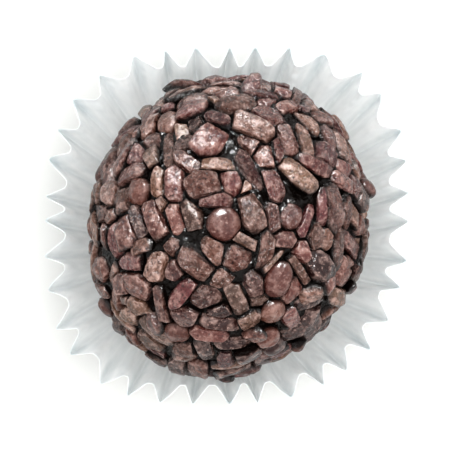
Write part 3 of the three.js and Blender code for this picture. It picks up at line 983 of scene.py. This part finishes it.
# How far the flutes lean sideways, in radians, and the waves round the case that they lean in.
SWAY = 0.035
SWAYS = [(5, 1.3), (11, 0.4), (17, 2.0)]
VALLEY_FROM = 0.74
TIP_ROUND = 0.08
VALLEY_ROUND = 0.12


def flute_fold(phase):
    """1 on a ridge, -1 in a valley: narrow ridges, and valleys that are rounder and a little wider."""
    from_ridge = np.sqrt((2 * (phase - np.round(phase))) ** 2 + TIP_ROUND**2) - TIP_ROUND
    down = 1 - from_ridge / (VALLEY_FROM - TIP_ROUND / 2)
    return -1 + down + np.sqrt(down**2 + VALLEY_ROUND**2)


def wall_points(angle, slant, fold):
    """Points of the wall, in mm."""
    share = slant / WALL_SLANT
    lean = sum(wave(angle, shape) for shape in SWAYS) / len(SWAYS)
    angle = angle + SWAY * share**2 * lean
    flare = share + WALL_BULGE * share * (1 - share)
    middle = BASE_RADIUS + (rim_middle(rim_reach(angle)) - BASE_RADIUS) * flare
    radius = middle + fold * flute_depth(slant, middle) / 2
    height = PAPER / 2 + np.sqrt(np.maximum(0, slant**2 - (radius - BASE_RADIUS) ** 2))
    return np.stack([radius * np.cos(angle), radius * np.sin(angle), height], axis=-1)


print("a ridge's tip is at", wall_points(0.0, WALL_SLANT, 1).round(2), "mm")

# %% [markdown]
# ### The sheet
# The sheet is a grid of rings: flat ones for the base, and fluted ones for the wall. The last two rings lie
# close together, which keeps the cut edge of the paper crisp. A Solidify modifier then gives it its
# thickness, because that keeps both faces the same distance apart everywhere.

# %% Lay out the sheet
# The base's last ring stops short of the wall by the width of the bend. A ring of the wall is placed by its
# share of the way up.
POINTS_PER_FLUTE = 24
COLUMNS = POINTS_PER_FLUTE * FLUTES
ANGLES = 2 * math.pi * np.arange(COLUMNS) / COLUMNS
FOLDS = flute_fold(ANGLES * FLUTES / (2 * math.pi))
BASE_BEND = 0.8
BASE_RINGS = 8
FIRST_RADIUS = 1.5
BASE_RADII = np.linspace(FIRST_RADIUS, BASE_RADIUS - BASE_BEND, BASE_RINGS)
WALL_RINGS = 30
FIRST_SHARE = 0.03
LAST_BUT_ONE = 0.997
WALL_SHARES = np.append(np.linspace(FIRST_SHARE, LAST_BUT_ONE, WALL_RINGS - 1), 1)
CRINKLES = [(0.06, (1.2, 4))]
CRINKLE_WAVES = 16
CRINKLE_SEED = 8


def base_rings():
    """The rings of the flat base, from the inside out."""
    cos, sin, flat = np.cos(ANGLES), np.sin(ANGLES), np.full(COLUMNS, PAPER / 2)
    return [np.stack([radius * cos, radius * sin, flat], axis=-1) for radius in BASE_RADII]


def wall_rings():
    """The rings of the wall, from the base up. Crinkles push them in and out, more so towards the rim."""
    wall = np.stack([wall_points(ANGLES, WALL_SLANT * share, FOLDS) for share in WALL_SHARES])
    crinkles = lumps(wall.reshape(-1, 3), np.random.default_rng(CRINKLE_SEED), CRINKLES, CRINKLE_WAVES)
    push = crinkles.reshape(WALL_RINGS, COLUMNS) * WALL_SHARES[:, None]
    wall[..., :2] += wall[..., :2] / BASE_RADIUS * push[..., None]
    return list(wall)


def sheet_faces(rings):
    """Four-sided faces from ring to ring, and triangles round the middle point, which comes last."""
    here = np.arange(COLUMNS)
    after = (here + 1) % COLUMNS
    low = COLUMNS * np.arange(rings - 1)[:, None]
    high = low + COLUMNS
    quads = np.stack([low + here, high + here, high + after, low + after], axis=-1)
    fan = np.stack([np.full(COLUMNS, rings * COLUMNS), here, after], axis=1)
    return fan.tolist() + quads.reshape(-1, 4).tolist()


print("the sheet has", BASE_RINGS + WALL_RINGS, "rings of", COLUMNS, "points")

# %% [markdown]
# ### White paper
# The paper is greaseproof: white, slightly cool, matt, and a little see-through, with faint fibres. The
# press that folds it leaves grey streaks along the flutes. Along each ridge, which is a crease seen from
# inside, the paper is painted grey as painted shade. The streaks are noise that is read on the flat sheet
# and stretched up the wall, so the sheet stores that place at each point, and how far the point is folded
# out and how high it is.

# %% What the paper's finish reads
STREAK_STRETCH = 0.12


def streak_places_and_folds():
    """For each point of the sheet, its place in the streaks, and its fold and its height."""
    slants = np.append(BASE_RADII - BASE_RADIUS, WALL_SLANT * WALL_SHARES)
    slant, angle = np.meshgrid(slants, ANGLES, indexing="ij")
    round_base = [BASE_RADIUS * np.cos(angle), BASE_RADIUS * np.sin(angle)]
    streaks = np.stack(round_base + [STREAK_STRETCH * slant], axis=-1)
    height = np.maximum(0, slant / WALL_SLANT)
    creases = np.stack([FOLDS + 0 * slant, height, 0 * slant], axis=-1)
    middle = np.zeros((1, 3))
    return [np.append(values.reshape(-1, 3), middle, axis=0) for values in (streaks, creases)]


print("the flutes fold from", FOLDS.min().round(2), "to", FOLDS.max().round(2))

# %% The finish of the paper
WHITE_PAPER = srgb(246, 250, 250)
CLOUDY_PAPER = srgb(232, 240, 242)
# Grey for the press streaks, and for the painted shade along the creases.
PRESS_STREAK_AND_CREASE_SHADE = srgb(135, 153, 160)
FIBRES_PER_MM = 2.5
CLOUDS_PER_MM = 0.25
STREAKS_PER_MM = 1.1
STREAKED = 0.32
# How strong the painted shade along the creases is, and how much of streaks and shade is left at the base.
CREASE_SHADE = 0.6
STREAKS_AND_SHADE_AT_BASE = 0.3


def paper_finish():
    """White paper with clouds and fibres in it, with press streaks and painted shade along the creases, both
    stronger towards the rim.
    """
    tree = Tree("white_case_paper")
    place = tree.node("TexCoord", out="Object")
    fibres = tree.noise(place, FIBRES_PER_MM / MM, 4.0)
    clouds = tree.noise(place, CLOUDS_PER_MM / MM, 2.0)
    streaks = tree.ramp(tree.noise(tree.stored("paper_streaks"), STREAKS_PER_MM, 2.0), 0.4, 0.65)
    fold, height = tree.parts(tree.stored("paper_creases"), "XY")
    # The painted shade lies along each ridge, a crease seen from inside, and grows towards the rim with the
    # streaks.
    ridge = tree.ramp(fold, 0.1, 1.0)
    streaks_and_crease_shade = (streaks * STREAKED + ridge * CREASE_SHADE) * (STREAKS_AND_SHADE_AT_BASE + height * (1 - STREAKS_AND_SHADE_AT_BASE))
    return tree.finish({
        "Base Color": tree.mix(streaks_and_crease_shade, tree.mix(clouds * 0.5, WHITE_PAPER, CLOUDY_PAPER), PRESS_STREAK_AND_CREASE_SHADE),
        "Roughness": 0.62,
        "Specular IOR Level": 0.3,
        "Subsurface Weight": 0.78,
        "Subsurface Radius": (1.0, 1.0, 1.0),
        "Subsurface Scale": 1.2 * MM,
        "Normal": tree.node("Bump", sockets={"Height": fibres, "Strength": 0.25, "Distance": 0.05 * MM}),
    })


white_paper = paper_finish()
print("made the finish", white_paper.name)

# %% Build the case
def build_case():
    """The fluted sheet, with its thickness and what its finish reads."""
    rings = base_rings() + wall_rings()
    points = np.concatenate(rings + [np.array([[0, 0, PAPER / 2]])])
    piece = mesh_piece("case_of_paper", points, sheet_faces(len(rings)), white_paper)
    streaks, creases = streak_places_and_folds()
    store(piece, "paper_streaks", streaks)
    store(piece, "paper_creases", creases)
    solidify = piece.modifiers.new("thickness", "SOLIDIFY")
    solidify.thickness = PAPER * MM
    solidify.offset = 0
    return piece


case = build_case()
print(case.name, len(case.data.polygons), "faces before its thickness")

# %% [markdown]
# ## Tie the pieces to the frame
# The granules and the fudge stand for the solid ball, and the thin sheet for the thick one. Nothing moves
# on a sweet, so every piece rides on the frame's one body.

# %% Ride and replace
for piece in granules + [fudge]:
    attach(piece, "root")
    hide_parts("brigadeiro")
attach(case, "root")
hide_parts("paper_case")
print("every piece rides on the frame")

# %% [markdown]
# ## Floor, light and camera
# The sweet stands on a plain white table. Soft light comes from all round, and a window overhead gives it
# its shape. A mirror image of a window that large would lie over the dark chocolate like a veil, so this
# window only shades things, and a smaller lamp behind the sweet only makes them shine.

# %% The floor
FLOOR_SIZE = 3000.0
TABLE_WHITE = srgb(199, 199, 197)


def build_floor():
    """A plain table top, which isn't part of the sweet."""
    half = FLOOR_SIZE / 2
    corners = np.array([[-half, -half, 0], [half, -half, 0], [half, half, 0], [-half, half, 0]])
    finish = Tree("white_table").finish({"Base Color": TABLE_WHITE, "Roughness": 0.8})
    piece = mesh_piece("table_top", corners, np.array([[0, 1, 2, 3]]), finish)


build_floor()
print("the table is", FLOOR_SIZE * MM, "m wide")

# %% Light from all round
BRIGHTEST_WAY = (0.0, 0.15, 0.99)
ROOM_STRENGTH = {"From Min": -0.1, "From Max": 1.0, "To Min": 0.35, "To Max": 1.1}


def light_room():
    """Light from all round, strongest from above and a little behind the sweet."""
    world = bpy.data.worlds.new("room")
    world.use_nodes = True
    tree = world.node_tree
    way = tree.nodes.new("ShaderNodeTexCoord").outputs["Generated"]
    facing = tree.nodes.new("ShaderNodeVectorMath")
    facing.operation = "DOT_PRODUCT"
    facing.inputs[1].default_value = BRIGHTEST_WAY
    strength = tree.nodes.new("ShaderNodeMapRange")
    strength.interpolation_type = "SMOOTHSTEP"
    for name, value in ROOM_STRENGTH.items():
        strength.inputs[name].default_value = value
    tree.links.new(way, facing.inputs[0])
    tree.links.new(facing.outputs["Value"], strength.inputs["Value"])
    tree.links.new(strength.outputs["Result"], tree.nodes["Background"].inputs["Strength"])
    tree.nodes["Background"].inputs["Color"].default_value = (1, 1, 1, 1)
    bpy.context.scene.world = world


light_room()
print("the room is", ROOM_STRENGTH["To Max"], "bright above and", ROOM_STRENGTH["To Min"], "below")

# %% A window and a lamp
LIT_HEIGHT = 15


def add_light(name, place, size, watts, shades, shines):
    """A square light at a place in mm, aimed at the sweet, that shades things or makes them shine."""
    light = bpy.data.lights.new(name, "AREA")
    light.size = size * MM
    light.energy = watts
    lamp = bpy.data.objects.new(name, light)
    lamp.location = Vector(place) * MM
    aim = Vector((0, 0, LIT_HEIGHT * MM)) - lamp.location
    lamp.rotation_euler = aim.to_track_quat("-Z", "Y").to_euler()
    lamp.visible_diffuse = shades
    lamp.visible_glossy = shines
    bpy.context.scene.collection.objects.link(lamp)


add_light("window", (20, -40, 450), size=400, watts=2.6, shades=True, shines=False)
add_light("lamp", (-20, 340, 320), size=75, watts=6.4, shades=False, shines=True)

# %% [markdown]
# The camera looks almost straight down. It stands far off with a long lens, so that the near granules don't
# look larger than the others.

# %% The camera
ELEVATION = math.radians(86)
AZIMUTH = math.radians(-135)
DISTANCE = 380.0
VIEW_WIDTH = 53.5
AIM = (0.0, 0.0, 15.0)


def add_camera():
    """A camera that sees VIEW_WIDTH mm across at the sweet's middle, with +Y up in the picture."""
    lens = bpy.data.cameras.new("camera")
    lens.lens = lens.sensor_width * DISTANCE / VIEW_WIDTH
    camera = bpy.data.objects.new("camera", lens)
    level = math.cos(ELEVATION)
    back = Vector((level * math.cos(AZIMUTH), level * math.sin(AZIMUTH), math.sin(ELEVATION)))
    right = Vector((0, 1, 0)).cross(back).normalized()
    turn = Matrix((right, back.cross(right), back)).transposed()
    camera.matrix_world = Matrix.Translation((Vector(AIM) + back * DISTANCE) * MM) @ turn.to_4x4()
    bpy.context.scene.collection.objects.link(camera)
    bpy.context.scene.camera = camera


add_camera()
bpy.context.scene.view_settings.view_transform = "Standard"
bpy.context.scene.view_settings.look = "Medium High Contrast"
print("the camera stands", DISTANCE, "mm away")

# %% [markdown]
# ## Finish
# The script keeps both, the CAD model's hidden parts and what now stands for them.

# %% Finish
bpy.context.view_layer.update()
